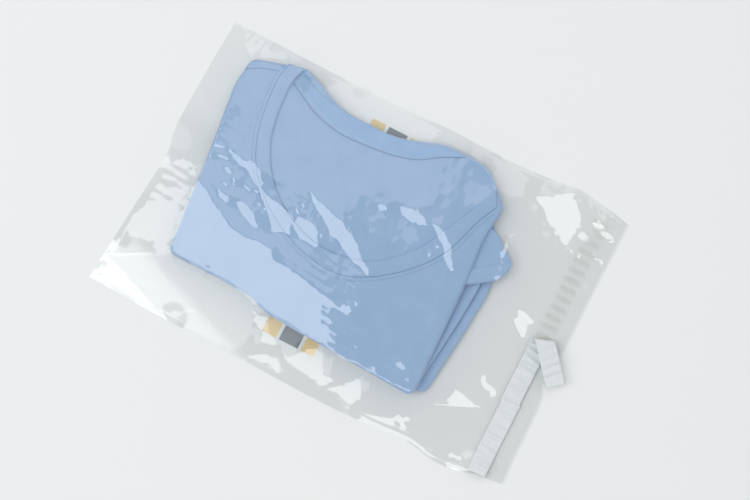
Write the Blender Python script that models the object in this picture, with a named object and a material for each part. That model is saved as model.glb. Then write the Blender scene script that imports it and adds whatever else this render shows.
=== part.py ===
# Clear self-seal garment bag, lying flat, with a folded scoop-neck T-shirt inside.
# Metres, +Z up. +X runs from the welded closed end to the open mouth, +Y across the bag.
# The origin is the centre of the bag's underside, on the face that it lies on.

import bpy
import bmesh
import numpy as np

# Bag
BAG_WIDTH = 0.260          # across, over both side welds
BODY_LENGTH = 0.350        # closed end to where the two panels come together
SEAL_LENGTH = 0.038        # from there to the mouth; the adhesive lies on this stretch
LIP_LENGTH = 0.002         # back panel past the front panel's edge, to open it by
FILM_WALL = 0.0002         # stands in for 0.05 mm film
WELD_WIDTH = 0.004
MOUTH_GAP = 0.0008         # how far the front panel stands off at the mouth
CLEARANCE = 0.0003         # between pieces that rest on each other

# Where the shirt lies in the bag
CLOSED_MARGIN = 0.033
SEAL_MARGIN = 0.063
LOW_MARGIN = 0.040
HIGH_MARGIN = 0.018

# Adhesive and its release liner, on the front panel by the mouth
ADHESIVE_INSET = 0.009     # from where the panels come together to the adhesive
ADHESIVE_WIDTH = 0.0155
ADHESIVE_THICK = 0.0002
STRIP_END_GAP = 0.005      # bare film at each end of the strip
LINER_THICK = 0.00025
LINER_OVERHANG = 0.0006    # liner past each side of the adhesive
PEEL_PLACE = 0.122         # along the strip, from its low end to where the liner peels
TAIL_LENGTH = 0.050        # liner past the start of the roll
ROLL_RADIUS = 0.0042
ROLL_SLANT = 20.0          # degrees between the roll and the strip's cross line
TAIL_DROOP = 0.0035        # how far the tail's end hangs below its roll
CORNER_LIFT = 0.0034       # the mouth's low corner lifts off the table
LIFT_REACH = 0.030

# Folded shirt, from the bottom layer up
TAIL_THICK = 0.0024
FLAP_THICK = 0.0028
INNER_THICK = 0.0028
MAIN_THICK = 0.0066
LAYER_BITE = 0.0003        # how far one layer sinks into the next
CROWN = 0.0016             # the soft top rises this much at its middle
TAIL_STOP = 0.050          # the turned-up tail ends this far below the shoulders
FLAP_SPLIT = 0.020         # gap between the two side flaps
INNER_REACH = 0.009        # lower layers stand out past the main stack's right edge
FLAP_REACH = 0.018

# Neck opening and its rib band
SHOULDER_LEFT = 0.042      # shirt's left edge to the opening
SHOULDER_RIGHT = 0.018
NECK_RISE = 0.012          # the opening's ends, below the shoulder line
NECK_DROP = 0.115
LEFT_FULLNESS = 2.1        # superellipse powers of the scoop's two halves
RIGHT_FULLNESS = 1.75
BACK_NECK_DIP = 0.014
BAND_WIDTH = 0.014
BAND_THICK = 0.0013
BAND_RIB = 0.0004          # the band's middle stands this much higher
RECESS_DEPTH = 0.0016      # front panel's thickness at the scoop

# Sleeves
SLEEVE_THICK = 0.0028
SLEEVE_TUCK = 0.032        # how far the right sleeve is tucked into the stack
SLEEVE_REACH = 0.028       # how far its folded corner stands out
SLEEVE_LENGTH = 0.052
UNDER_SLEEVE_THICK = 0.0018
UNDER_SLEEVE_LENGTH = 0.088
UNDER_SLEEVE_DEPTH = 0.038

# Plan positions worked out from the sizes above
X_CLOSED = -(BODY_LENGTH + SEAL_LENGTH + LIP_LENGTH) / 2
X_SEAL = X_CLOSED + BODY_LENGTH
X_MOUTH = X_SEAL + SEAL_LENGTH
X_LIP = X_MOUTH + LIP_LENGTH
Y_LOW = -BAG_WIDTH / 2
Y_HIGH = BAG_WIDTH / 2
SHIRT_X0 = X_CLOSED + CLOSED_MARGIN
SHIRT_X1 = X_SEAL - SEAL_MARGIN
SHIRT_Y0 = Y_LOW + LOW_MARGIN
SHIRT_Y1 = Y_HIGH - HIGH_MARGIN
SHIRT_W = SHIRT_X1 - SHIRT_X0
SHIRT_D = SHIRT_Y1 - SHIRT_Y0
NECK_X0 = SHIRT_X0 + SHOULDER_LEFT
NECK_X1 = SHIRT_X1 - SHOULDER_RIGHT
NECK_MID = (NECK_X0 + NECK_X1) / 2
NECK_TOP = SHIRT_Y1 - NECK_RISE

# Heights of the layers
TAIL_Z = FILM_WALL + CLEARANCE
FLAP_Z = TAIL_Z + TAIL_THICK - LAYER_BITE
INNER_Z = FLAP_Z + FLAP_THICK - LAYER_BITE
MAIN_Z = INNER_Z + INNER_THICK - LAYER_BITE
MAIN_TOP = MAIN_Z + MAIN_THICK
SLEEVE_Z = MAIN_Z + CLEARANCE + 2 * LAYER_BITE

MM = 0.001


# Curves in plan

def smooth_curve(points, steps=4):
    """Catmull-Rom curve through the points, with `steps` pieces between two of them."""
    p = np.array(points, dtype=float)
    p = np.vstack([2 * p[0] - p[1], p, 2 * p[-1] - p[-2]])
    t = np.linspace(0, 1, steps, endpoint=False)[:, None]
    pieces = []
    for a, b, c, d in zip(p[:-3], p[1:-2], p[2:-1], p[3:]):
        pieces.append(0.5 * (2 * b + (c - a) * t + (2 * a - 5 * b + 4 * c - d) * t ** 2
                             + (3 * b - a - 3 * c + d) * t ** 3))
    pieces.append(p[-2:-1])
    return np.vstack(pieces)


def filleted(corners, steps=3):
    """Closed outline with an arc at each corner (x, y, radius in millimetres). An arc that
    would use more than 45 percent of a side is made smaller."""
    plan = np.array([corner[:2] for corner in corners])
    points = []
    for k, corner in enumerate(corners):
        here = plan[k]
        back, ahead = plan[k - 1] - here, plan[(k + 1) % len(plan)] - here
        back_length, ahead_length = np.linalg.norm(back), np.linalg.norm(ahead)
        back, ahead = back / back_length, ahead / ahead_length
        half_turn = (np.pi - np.arccos(np.clip(back @ ahead, -1, 1))) / 2
        reach = corner[2] * MM * np.tan(half_turn)
        reach = min(reach, 0.45 * back_length, 0.45 * ahead_length)
        radius = reach / np.tan(half_turn)
        bisector = (back + ahead) / np.linalg.norm(back + ahead)
        centre = here + bisector * radius / np.cos(half_turn)
        start, end = here + back * reach - centre, here + ahead * reach - centre
        for share in np.linspace(0, 1, steps + 1):
            weight = np.sin(np.array([1 - share, share]) * 2 * half_turn) / np.sin(2 * half_turn)
            points.append(centre + weight[0] * start + weight[1] * end)
    return np.array(points)


def offset_outline(outline, distance):
    """Moves a closed counterclockwise outline outwards by the distance, along its normals."""
    along = np.roll(outline, -1, axis=0) - np.roll(outline, 1, axis=0)
    along /= np.linalg.norm(along, axis=1)[:, None]
    return outline + distance * np.column_stack([along[:, 1], -along[:, 0]])


def depth_inside(points, outline):
    """Distance of each point from the outline, positive inside it and negative outside."""
    a = outline
    b = np.roll(outline, -1, axis=0)
    span = b - a
    to_point = points[:, None, :] - a[None, :, :]
    share = np.clip((to_point * span).sum(2) / (span ** 2).sum(1), 0, 1)
    gap = np.linalg.norm(to_point - share[:, :, None] * span, axis=2).min(1)
    above = points[:, None, 1] >= a[None, :, 1]
    crosses = above != (points[:, None, 1] >= b[None, :, 1])
    rise = np.where(np.abs(span[:, 1]) < 1e-12, 1e-12, span[:, 1])
    cut = a[:, 0] + (points[:, None, 1] - a[:, 1]) * span[:, 0] / rise
    inside = (crosses & (points[:, None, 0] < cut)).sum(1) % 2 == 1
    return np.where(inside, gap, -gap)


def crown_height(x, y):
    """The main stack's soft rise: a product of two parabolas over the shirt's rectangle."""
    u = (x - (SHIRT_X0 + SHIRT_X1) / 2) / (SHIRT_W / 2)
    v = (y - (SHIRT_Y0 + SHIRT_Y1) / 2) / (SHIRT_D / 2)
    return CROWN * np.clip(1 - u ** 2, 0, 1) * np.clip(1 - v ** 2, 0, 1)


def corner_lift(x, y):
    """Height of the film above the table: a bell by the mouth's low corner, nothing elsewhere."""
    r = np.hypot(x - (X_SEAL + X_LIP) / 2, y - Y_LOW) / LIFT_REACH
    return CORNER_LIFT * np.where(r < 1, (1 - np.clip(r, 0, 1) ** 2) ** 2, 0)


def front_gap(across):
    """Space between the panels near the mouth: half a sine wave from weld to weld."""
    return MOUTH_GAP * np.sin(np.pi * across)


def front_top(x, y):
    """Top of the front panel where the adhesive lies on it."""
    across = np.clip((y - Y_LOW) / BAG_WIDTH, 0, 1)
    return corner_lift(x, y) + 2 * FILM_WALL + front_gap(across)


# Outlines of the folded layers, counterclockwise

def spot(along, across, corner):
    """A corner at shares of the shirt's rectangle, from its low left corner, with its radius
    in millimetres."""
    return SHIRT_X0 + along * SHIRT_W, SHIRT_Y0 + across * SHIRT_D, corner


def main_outline():
    """The shirt as it shows from above. The dip in its top edge is the back of the neck."""
    dip = BACK_NECK_DIP
    neck = NECK_X1 - NECK_X0
    return filleted([
        spot(0.063, 0.054, 8), spot(0.37, 0.054, 60), spot(0.45, 0.015, 60),
        spot(1.012, -0.015, 7), spot(1.0, 0.50, 300), spot(0.984, 0.72, 60),
        spot(1.0, 0.866, 12), spot(0.894, 1.0, 30),
        (NECK_X0 + 0.74 * neck, SHIRT_Y1 + 0.07 * dip, 60),
        (NECK_X0 + 0.52 * neck, SHIRT_Y1 - dip, 80),
        (NECK_X0 + 0.26 * neck, SHIRT_Y1 - dip, 60), (NECK_X0 + 0.03 * neck, SHIRT_Y1 + 0.36 * dip, 14),
        spot(0.004, 0.955, 9), spot(-0.008, 0.822, 60), spot(0.024, 0.52, 200),
    ])


def rounded_box(x0, x1, y0, y1, corner):
    """Rectangle with filleted corners; the corner's radius is in millimetres."""
    return filleted([(x0, y0, corner), (x1, y0, corner), (x1, y1, corner), (x0, y1, corner)],
                    steps=5)


def tail_outline():
    """The shirt's tail, turned up behind."""
    return rounded_box(SHIRT_X0 + 0.071 * SHIRT_W, SHIRT_X1 - 0.016 * SHIRT_W,
                       SHIRT_Y0 + 0.069 * SHIRT_D, SHIRT_Y1 - TAIL_STOP, 7)


def left_flap_outline():
    """The left side, folded in behind."""
    middle = (SHIRT_X0 + SHIRT_X1) / 2 - FLAP_SPLIT / 2
    return rounded_box(SHIRT_X0 + 0.071 * SHIRT_W, middle,
                       SHIRT_Y0 + 0.079 * SHIRT_D, SHIRT_Y1 - 0.079 * SHIRT_D, 7)


def right_layer_outline(start, reach):
    """A layer behind the main stack, from the share `start` of the shirt's width, whose right
    edge stands out past the stack by `reach`."""
    out = 1 + reach / SHIRT_W
    return filleted([
        spot(start, 0.069, 8), spot((start + out) / 2, 0.035, 80), spot(out - 0.028, 0.015, 8),
        spot(out, 0.36, 120), spot(out + 0.008, 0.52, 60), spot(out - 0.008, 0.68, 20),
        spot(0.969, 0.832, 40), spot(0.866, 0.921, 20), spot(start, 0.921, 8),
    ])


def flap_outline():
    return right_layer_outline(0.5 + FLAP_SPLIT / 2 / SHIRT_W, FLAP_REACH)


def inner_outline():
    return right_layer_outline(0.079, INNER_REACH)


def sleeve_outline():
    """The right sleeve: tucked into the stack, with one folded corner standing out."""
    x0, x1 = SHIRT_X1 - SLEEVE_TUCK, SHIRT_X1 + SLEEVE_REACH
    low = SHIRT_Y0 + 0.50 * SHIRT_D
    high = low + SLEEVE_LENGTH
    root = SHIRT_X1 - 0.008 * SHIRT_W
    return filleted([
        (x0, low, 6), (root, low, 20), (x1 - 0.21 * SLEEVE_REACH, low + 0.32 * SLEEVE_LENGTH, 20),
        (x1 + 0.036 * SLEEVE_REACH, low + 0.68 * SLEEVE_LENGTH, 6), (root, high, 20), (x0, high, 6),
    ], steps=4)


def under_sleeve_outline():
    """The left sleeve, folded down behind, above the turned-up tail."""
    x0 = SHIRT_X0 + 0.087 * SHIRT_W
    top = SHIRT_Y1 - 0.089 * SHIRT_D
    low = max(top - UNDER_SLEEVE_DEPTH, SHIRT_Y1 - TAIL_STOP + 4 * CLEARANCE)
    return rounded_box(x0, x0 + UNDER_SLEEVE_LENGTH, low, top, 5)


# Neck lines

def scoop_line(grow, turn):
    """Points of the scoop, grown outwards; turn runs from 0 at its left end to 1 at its right.
    Each half is a quarter of a superellipse."""
    angle = np.pi * turn
    fullness = np.where(angle < np.pi / 2, LEFT_FULLNESS, RIGHT_FULLNESS)
    across = np.abs(np.cos(angle)) ** (2 / fullness) * np.sign(np.cos(angle))
    down = np.abs(np.sin(angle)) ** (2 / fullness)
    half = (NECK_X1 - NECK_X0) / 2 + grow
    return np.column_stack([NECK_MID - half * across, NECK_TOP - (NECK_DROP + grow) * down])


def back_line(below, share):
    """Points of the back neck; share runs from 0 at its left end to 1 at its right end.
    The line is a parabola that hangs BACK_NECK_DIP below the shoulders."""
    x = NECK_X0 + 6 * MM + share * 0.72 * (NECK_X1 - NECK_X0)
    hang = BACK_NECK_DIP * (1 - (2 * share - 0.9) ** 2)
    return np.column_stack([x, SHIRT_Y1 - 6 * MM - hang - below])


def band_lines():
    """Outer and inner edge of the rib band, from the back neck's right end round to the scoop's."""
    share = np.linspace(1, 0.10, 16)
    turn = np.linspace(0.06, 0.91, 40)
    outer = np.vstack([back_line(0, share), back_line(0, np.array([0.02])) - [[3 * MM, 0]],
                       scoop_line(BAND_WIDTH, np.array([0.035])), scoop_line(BAND_WIDTH, turn)])
    inner = np.vstack([back_line(BAND_WIDTH, share), back_line(BAND_WIDTH, np.array([0.075])),
                       back_line(BAND_WIDTH, np.array([0.06])) - [[0, 1 * MM]], scoop_line(0, turn)])
    return outer, inner


# Meshes

def mesh_object(name, vertices, faces, material):
    mesh = bpy.data.meshes.new(name)
    mesh.from_pydata([tuple(v) for v in vertices], [], faces)
    bm = bmesh.new()
    bm.from_mesh(mesh)
    bmesh.ops.recalc_face_normals(bm, faces=bm.faces)
    if bm.calc_volume(signed=True) < 0:
        bmesh.ops.reverse_faces(bm, faces=bm.faces)
    bm.to_mesh(mesh)
    bm.free()
    if material:
        mesh.materials.append(material)
        mesh.shade_smooth()
        mesh.set_sharp_from_angle(angle=np.radians(40))
    piece = bpy.data.objects.new(name, mesh)
    bpy.context.collection.objects.link(piece)
    return piece


def slab(name, low, high, material=None):
    """Closed solid between two grids of points of the same shape, rows by columns."""
    rows, columns = low.shape[:2]
    count = rows * columns
    vertices = np.vstack([low.reshape(-1, 3), high.reshape(-1, 3)])
    index = np.arange(count).reshape(rows, columns)
    faces = []
    for i in range(rows - 1):
        for j in range(columns - 1):
            a, b, c, d = index[i, j], index[i + 1, j], index[i + 1, j + 1], index[i, j + 1]
            faces.append((a, d, c, b))
            faces.append((a + count, b + count, c + count, d + count))
    rim = list(index[0, :]) + list(index[1:, -1]) + list(index[-1, -2::-1]) + list(index[-2:0:-1, 0])
    for a, b in zip(rim, rim[1:] + rim[:1]):
        faces.append((a, b, b + count, a + count))
    return mesh_object(name, vertices, [tuple(int(k) for k in f) for f in faces], material)


def grid_normals(grid):
    along = np.gradient(grid, axis=0)
    across = np.gradient(grid, axis=1)
    normal = np.cross(along, across)
    return normal / np.linalg.norm(normal, axis=2)[:, :, None]


def pad(name, outline, low, high, material=None, crowned=False):
    """Folded cloth: an outline lofted through a rounded side, with a flat underside.
    A crowned pad has rings towards its middle that follow the crown."""
    half = (high - low) / 2
    rings = []
    for angle in np.radians([-90, -50, 0, 50, 90]):
        plan = offset_outline(outline, -half * (1 - np.cos(angle)))
        z = low + half + half * np.sin(angle)
        rings.append(np.column_stack([plan, np.full(len(plan), z)]))
    middle = outline.mean(0)
    if crowned:
        for scale in (0.82, 0.58, 0.32, 0.12):
            plan = middle + scale * (rings[4][:, :2] - middle)
            rings.append(np.column_stack([plan, np.full(len(plan), high)]))
        for ring in rings:
            share = (ring[:, 2] - low) / (high - low)
            ring[:, 2] += share * crown_height(ring[:, 0], ring[:, 1])
    n = len(outline)
    last = (len(rings) - 1) * n
    ends = [[*middle, low], [*middle, rings[-1][:, 2].mean()]]
    bottom, top = last + n, last + n + 1
    faces = []
    for i in range(n):
        j = (i + 1) % n
        for k in range(0, last, n):
            faces.append((k + i, k + j, k + n + j, k + n + i))
        faces.append((bottom, j, i))
        faces.append((top, last + i, last + j))
    return mesh_object(name, np.vstack(rings + [ends]), faces, material)


def as_tool(piece):
    """Marks a helper solid, which shapes another piece and isn't one itself."""
    piece.hide_render = True
    piece.display_type = 'WIRE'
    return piece


def combine(piece, tool, operation):
    modifier = piece.modifiers.new(tool.name, 'BOOLEAN')
    modifier.operation = operation
    modifier.object = as_tool(tool)


def principled(name, colour, roughness, alpha=1.0, sheen=0.0):
    material = bpy.data.materials.new(name)
    material.use_nodes = True
    shader = material.node_tree.nodes["Principled BSDF"]
    shader.inputs["Base Color"].default_value = (*colour, 1.0)
    shader.inputs["Roughness"].default_value = roughness
    shader.inputs["Metallic"].default_value = 0.0
    shader.inputs["Alpha"].default_value = alpha
    shader.inputs["Sheen Weight"].default_value = sheen
    return material


# Film pouch

def stops(edges, cells):
    """Grid lines: each stretch between two edges is cut into its number of cells."""
    lines = [edges[0]]
    for a, b, count in zip(edges, edges[1:], cells):
        lines.extend(np.linspace(a, b, count + 1)[1:])
    return np.array(lines)


def film_plan():
    """Plan position of each film grid point, and the rows at which the panels come together
    and at which the mouth lies. The welded sides are slightly wavy: each is a smooth curve
    through a few points."""
    edge = 12 * MM
    cells = [1, 6, 2, 14, 2, 5, 5, 7, 1]
    x = stops([X_CLOSED, X_CLOSED + WELD_WIDTH, SHIRT_X0, SHIRT_X0 + edge, SHIRT_X1 - edge,
               SHIRT_X1, SHIRT_X1 + SLEEVE_REACH, X_SEAL, X_MOUTH, X_LIP], cells)
    y = stops([Y_LOW, Y_LOW + WELD_WIDTH, SHIRT_Y0, SHIRT_Y0 + edge, SHIRT_Y1 - edge,
               SHIRT_Y1, Y_HIGH - WELD_WIDTH, Y_HIGH], [1, 7, 2, 11, 3, 4, 1])
    seal_row, mouth_row = sum(cells[:-2]), sum(cells[:-1])
    along = (x - X_CLOSED) / (X_LIP - X_CLOSED)
    across = (y - Y_LOW) / (Y_HIGH - Y_LOW)
    high_wave = smooth_curve([(0.00, -3), (0.18, -4), (0.42, -4), (0.52, -2), (0.68, -3),
                              (0.80, -1), (0.87, 2), (0.95, -2), (1.00, -6)])
    low_wave = smooth_curve([(0.00, -2), (0.13, 0), (0.37, 1), (0.58, 2), (0.70, 0),
                             (0.78, -2), (0.84, 2), (0.89, 1), (0.94, -4), (1.00, -7)])
    closed_wave = smooth_curve([(0.00, -3), (0.12, -1), (0.29, 2), (0.48, 6), (0.53, 4),
                                (0.60, 1), (0.83, 2), (1.00, 4)])
    lip_wave = smooth_curve([(0.00, 2), (0.13, 1), (0.31, 0), (0.37, -4), (0.52, -2),
                             (0.71, -2), (1.00, -1)])
    high = np.interp(along, high_wave[:, 0], high_wave[:, 1]) * MM
    low = np.interp(along, low_wave[:, 0], low_wave[:, 1]) * MM
    closed = np.interp(across, closed_wave[:, 0], closed_wave[:, 1]) * MM
    lip = np.interp(across, lip_wave[:, 0], lip_wave[:, 1]) * MM
    end_share = np.clip((along - 0.8) / 0.2, 0, 1)
    plan_x = x[:, None] + (1 - along[:, None]) ** 3 * closed + end_share[:, None] * lip
    plan_y = y + across ** 3 * high[:, None] - (1 - across) ** 3 * low[:, None]
    return plan_x, plan_y, seal_row, mouth_row


def cloth_height(points):
    """Upper surface of the folded shirt over each plan point, or 0 where there is none."""
    x, y = points[:, 0], points[:, 1]
    layers = [(main_outline(), MAIN_Z, MAIN_TOP, crown_height(x, y)),
              (inner_outline(), INNER_Z, INNER_Z + INNER_THICK, 0),
              (flap_outline(), FLAP_Z, FLAP_Z + FLAP_THICK, 0),
              (sleeve_outline(), SLEEVE_Z, SLEEVE_Z + SLEEVE_THICK, 0)]
    height = np.zeros(len(points))
    for outline, low, high, crown in layers:
        depth = depth_inside(points, outline)
        half = (high - low) / 2
        fall = half - np.clip(depth, 0, half)
        top = low + half + np.sqrt(half ** 2 - fall ** 2) + crown
        height = np.maximum(height, np.where(depth > 0, top, 0))
    outer, inner = band_lines()
    band = np.vstack([outer, inner[::-1]])
    band_top = MAIN_TOP + crown_height(x, y) - RECESS_DEPTH + CLEARANCE + BAND_THICK + BAND_RIB
    return np.maximum(height, np.where(depth_inside(points, band) > 0, band_top, 0))


def cloth_limit(x, y):
    """Lowest height that the film may have at each grid point: the highest cloth in the cells
    around it, read at five places along and across each cell."""
    share = np.linspace(0, 1, 5)
    limit = np.zeros(x.shape)
    for s in share:
        for t in share:
            px = ((1 - s) * (1 - t) * x[:-1, :-1] + s * (1 - t) * x[1:, :-1]
                  + (1 - s) * t * x[:-1, 1:] + s * t * x[1:, 1:])
            py = ((1 - s) * (1 - t) * y[:-1, :-1] + s * (1 - t) * y[1:, :-1]
                  + (1 - s) * t * y[:-1, 1:] + s * t * y[1:, 1:])
            top = cloth_height(np.column_stack([px.ravel(), py.ravel()])).reshape(px.shape)
            for rows in (slice(0, -1), slice(1, None)):
                for columns in (slice(0, -1), slice(1, None)):
                    limit[rows, columns] = np.maximum(limit[rows, columns], top)
    return limit + CLEARANCE


def draped(x, y, seal_row):
    """Inner height of the front panel, drawn taut over the cloth: each free point settles to
    the mean of its four neighbours, weighted by nearness, and never below the cloth."""
    x, y = x[1:seal_row + 1, 1:-1], y[1:seal_row + 1, 1:-1]
    limit = cloth_limit(x, y)
    z = np.full(x.shape, FILM_WALL)
    across = (y[-1] - y[-1, 0]) / (y[-1, -1] - y[-1, 0])
    z[-1] += front_gap(across)
    before_x, after_x = np.diff(x, axis=0)[:-1, 1:-1], np.diff(x, axis=0)[1:, 1:-1]
    before_y, after_y = np.diff(y, axis=1)[1:-1, :-1], np.diff(y, axis=1)[1:-1, 1:]
    weights = [1 / (before_x * (before_x + after_x)), 1 / (after_x * (before_x + after_x)),
               1 / (before_y * (before_y + after_y)), 1 / (after_y * (before_y + after_y))]
    total = sum(weights)
    for _ in range(1500):
        mean = (weights[0] * z[:-2, 1:-1] + weights[1] * z[2:, 1:-1]
                + weights[2] * z[1:-1, :-2] + weights[3] * z[1:-1, 2:]) / total
        z[1:-1, 1:-1] = np.maximum(mean, limit[1:-1, 1:-1])
    return z


def film_pouch(material):
    """One piece of film: a back panel, and a front panel welded to it on three sides and open
    at the mouth, where the back panel stands out a little as a lip."""
    x, y, seal, mouth = film_plan()
    lift = corner_lift(x, y)
    rows, columns = x.shape
    vertices = []

    def layer(height):
        start = len(vertices)
        vertices.extend(np.column_stack([x.ravel(), y.ravel(), (lift + height).ravel()]))
        return start + np.arange(rows * columns).reshape(rows, columns)

    drape = np.full(x.shape, FILM_WALL)
    drape[1:seal + 1, 1:-1] = draped(x, y, seal)
    drape[seal + 1:mouth + 1, 1:-1] = drape[seal, 1:-1]
    under = layer(0)
    back = layer(FILM_WALL)
    outer = layer(drape + FILM_WALL)
    inner = layer(drape)
    inner[1, :] = back[1, :]
    inner[:, 1] = back[:, 1]
    inner[:, -2] = back[:, -2]

    faces = []

    def skin(index, first_row, last_row, first_column, last_column):
        for i in range(first_row, last_row):
            for j in range(first_column, last_column):
                faces.append((index[i, j], index[i + 1, j], index[i + 1, j + 1], index[i, j + 1]))

    skin(under, 0, rows - 1, 0, columns - 1)
    skin(back, 1, mouth, 1, columns - 2)
    skin(inner, 1, mouth, 1, columns - 2)
    skin(outer, 0, mouth, 0, columns - 1)
    skin(back, mouth, rows - 1, 0, columns - 1)
    for j in (0, columns - 1):
        for i in range(mouth - 1):
            faces.append((under[i, j], under[i + 1, j], outer[i + 1, j], outer[i, j]))
        faces.append((under[mouth - 1, j], under[mouth, j], back[mouth, j], outer[mouth, j],
                      outer[mouth - 1, j]))
        for i in range(mouth, rows - 1):
            faces.append((under[i, j], under[i + 1, j], back[i + 1, j], back[i, j]))
    inner[mouth, 0] = back[mouth, 0]
    inner[mouth, -1] = back[mouth, -1]
    for j in range(columns - 1):
        faces.append((under[0, j], under[0, j + 1], outer[0, j + 1], outer[0, j]))
        faces.append((under[-1, j], under[-1, j + 1], back[-1, j + 1], back[-1, j]))
        faces.append((inner[mouth, j], inner[mouth, j + 1], outer[mouth, j + 1], outer[mouth, j]))

    used = sorted({int(k) for face in faces for k in face})
    renumber = {old: new for new, old in enumerate(used)}
    faces = [tuple(renumber[int(k)] for k in face) for face in faces]
    return mesh_object("film_pouch", np.array(vertices)[used], faces, material)


# Strip by the mouth

def strip_plan(width, start, length, columns, rows):
    """Plan grid of a strip that runs across the bag by the mouth, centred on the adhesive."""
    middle = X_SEAL + ADHESIVE_INSET + ADHESIVE_WIDTH / 2
    x = np.linspace(middle - width / 2, middle + width / 2, columns)
    y = np.linspace(start, start + length, rows)
    return np.meshgrid(x, y, indexing="xy")


def adhesive_strip(material):
    """The line of pressure-sensitive adhesive, all the way across the front panel."""
    x, y = strip_plan(ADHESIVE_WIDTH, Y_LOW + STRIP_END_GAP, BAG_WIDTH - 2 * STRIP_END_GAP, 4, 36)
    y = np.clip(y, Y_LOW + STRIP_END_GAP, Y_HIGH - STRIP_END_GAP - 4 * MM)
    z = front_top(x, y) + CLEARANCE
    low = np.dstack([x, y, z])
    high = np.dstack([x, y, z + ADHESIVE_THICK])
    return slab("adhesive_strip", low, high, material)


def liner_surface(x, y):
    """Underside of the liner. Up to the peel it lies on the adhesive. Past it the strip wraps
    half a turn round a slanted roll, keeping its length, and lies back over itself."""
    base = front_top(x, y) + 2 * CLEARANCE + ADHESIVE_THICK
    slant = np.radians(ROLL_SLANT)
    normal = np.array([-np.sin(slant), np.cos(slant)])
    middle = X_SEAL + ADHESIVE_INSET + ADHESIVE_WIDTH / 2
    peel = np.array([middle, Y_LOW + STRIP_END_GAP + PEEL_PLACE])
    past = (x - peel[0]) * normal[0] + (y - peel[1]) * normal[1]
    wrap = np.pi * ROLL_RADIUS
    turn = np.clip(past, 0, wrap) / ROLL_RADIUS
    tail = np.clip(past - wrap, 0, None)
    tail_share = tail / (TAIL_LENGTH - wrap)
    shift = np.where(past > 0, ROLL_RADIUS * np.sin(turn) - tail - past, 0)
    rise = np.where(past > 0, ROLL_RADIUS * (1 - np.cos(turn)) - TAIL_DROOP * tail_share ** 2, 0)
    return np.dstack([x + shift * normal[0], y + shift * normal[1], base + rise])


def release_liner(material):
    """Silicone-coated liner, still stuck along part of the strip and peeled from the rest."""
    width = ADHESIVE_WIDTH + 2 * LINER_OVERHANG
    start = Y_LOW + STRIP_END_GAP
    x, y = strip_plan(width, start, PEEL_PLACE, 4, 18)
    roll_x, roll_y = strip_plan(width, start + PEEL_PLACE, TAIL_LENGTH, 4, 26)
    x = np.vstack([x, roll_x[1:]])
    y = np.vstack([y, roll_y[1:]])
    low = liner_surface(x, y)
    return slab("release_liner", low, low - LINER_THICK * grid_normals(low), material)


# Folded shirt

def recess_tool():
    """Cuts the front panel away inside the scoop, down to the inside of the back panel."""
    turn = np.linspace(0, 1, 61)
    scoop = scoop_line(BAND_WIDTH + CLEARANCE, turn)
    beyond = np.column_stack([np.linspace(scoop[0, 0] - 2 * MM, scoop[-1, 0] + 2 * MM, len(turn)),
                              np.full(len(turn), SHIRT_Y1 + 0.1 * SHIRT_D)])
    share = np.linspace(0, 1, 9)[:, None, None]
    plan = scoop[None] * (1 - share) + beyond[None] * share
    floor = MAIN_TOP + crown_height(plan[:, :, 0], plan[:, :, 1]) - RECESS_DEPTH
    low = np.dstack([plan, floor])
    high = np.dstack([plan, np.full(floor.shape, MAIN_TOP + CROWN + 5 * MM)])
    return slab("neck_recess_tool", low, high)


def shirt_body(material):
    """Front and back panels, folded: a main stack with the neck opening, and behind it the
    side flaps and the turned-up tail, whose edges show as separate rolls of cloth."""
    body = pad("shirt_body", main_outline(), MAIN_Z, MAIN_TOP, material, crowned=True)
    combine(body, pad("inner_tool", inner_outline(), INNER_Z, INNER_Z + INNER_THICK), 'UNION')
    combine(body, pad("flap_tool", flap_outline(), FLAP_Z, FLAP_Z + FLAP_THICK), 'UNION')
    combine(body, pad("left_flap_tool", left_flap_outline(), FLAP_Z, FLAP_Z + FLAP_THICK), 'UNION')
    combine(body, pad("tail_tool", tail_outline(), TAIL_Z, TAIL_Z + TAIL_THICK), 'UNION')
    pocket = offset_outline(sleeve_outline(), CLEARANCE)
    combine(body, pad("pocket_tool", pocket, SLEEVE_Z - CLEARANCE,
                      SLEEVE_Z + SLEEVE_THICK + CLEARANCE), 'DIFFERENCE')
    combine(body, recess_tool(), 'DIFFERENCE')
    return body


def neckband(material):
    """Rib band, from the back neck's right end round the left shoulder and down the scoop."""
    outer, inner = band_lines()
    share = np.linspace(0, 1, 5)
    plan = outer[:, None, :] * (1 - share[:, None]) + inner[:, None, :] * share[:, None]
    x, y = plan[:, :, 0], plan[:, :, 1]
    low = MAIN_TOP + crown_height(x, y) - RECESS_DEPTH + CLEARANCE
    rib = BAND_RIB * 4 * share * (1 - share)
    return slab("neckband", np.dstack([x, y, low]), np.dstack([x, y, low + BAND_THICK + rib]),
                material)


def right_sleeve(material):
    return pad("sleeve_right", sleeve_outline(), SLEEVE_Z, SLEEVE_Z + SLEEVE_THICK, material)


def left_sleeve(material):
    return pad("sleeve_left", under_sleeve_outline(), TAIL_Z, TAIL_Z + UNDER_SLEEVE_THICK, material)


def clear_scene():
    for old in list(bpy.data.objects):
        bpy.data.objects.remove(old, do_unlink=True)


clear_scene()
clear_film = principled("clear polythene film", (0.80, 0.84, 0.85), 0.12, alpha=0.25)
tack = principled("pressure-sensitive adhesive", (0.78, 0.79, 0.72), 0.25, alpha=0.45)
liner = principled("silicone-coated liner film", (0.75, 0.79, 0.80), 0.45, alpha=0.90)
jersey = principled("pale blue cotton jersey", (0.32, 0.46, 0.66), 0.90, sheen=0.3)
rib_knit = principled("pale blue rib knit", (0.30, 0.44, 0.64), 0.90, sheen=0.3)

film_pouch(clear_film)
adhesive_strip(tack)
release_liner(liner)
shirt_body(jersey)
neckband(rib_knit)
right_sleeve(jersey)
left_sleeve(jersey)
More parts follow.
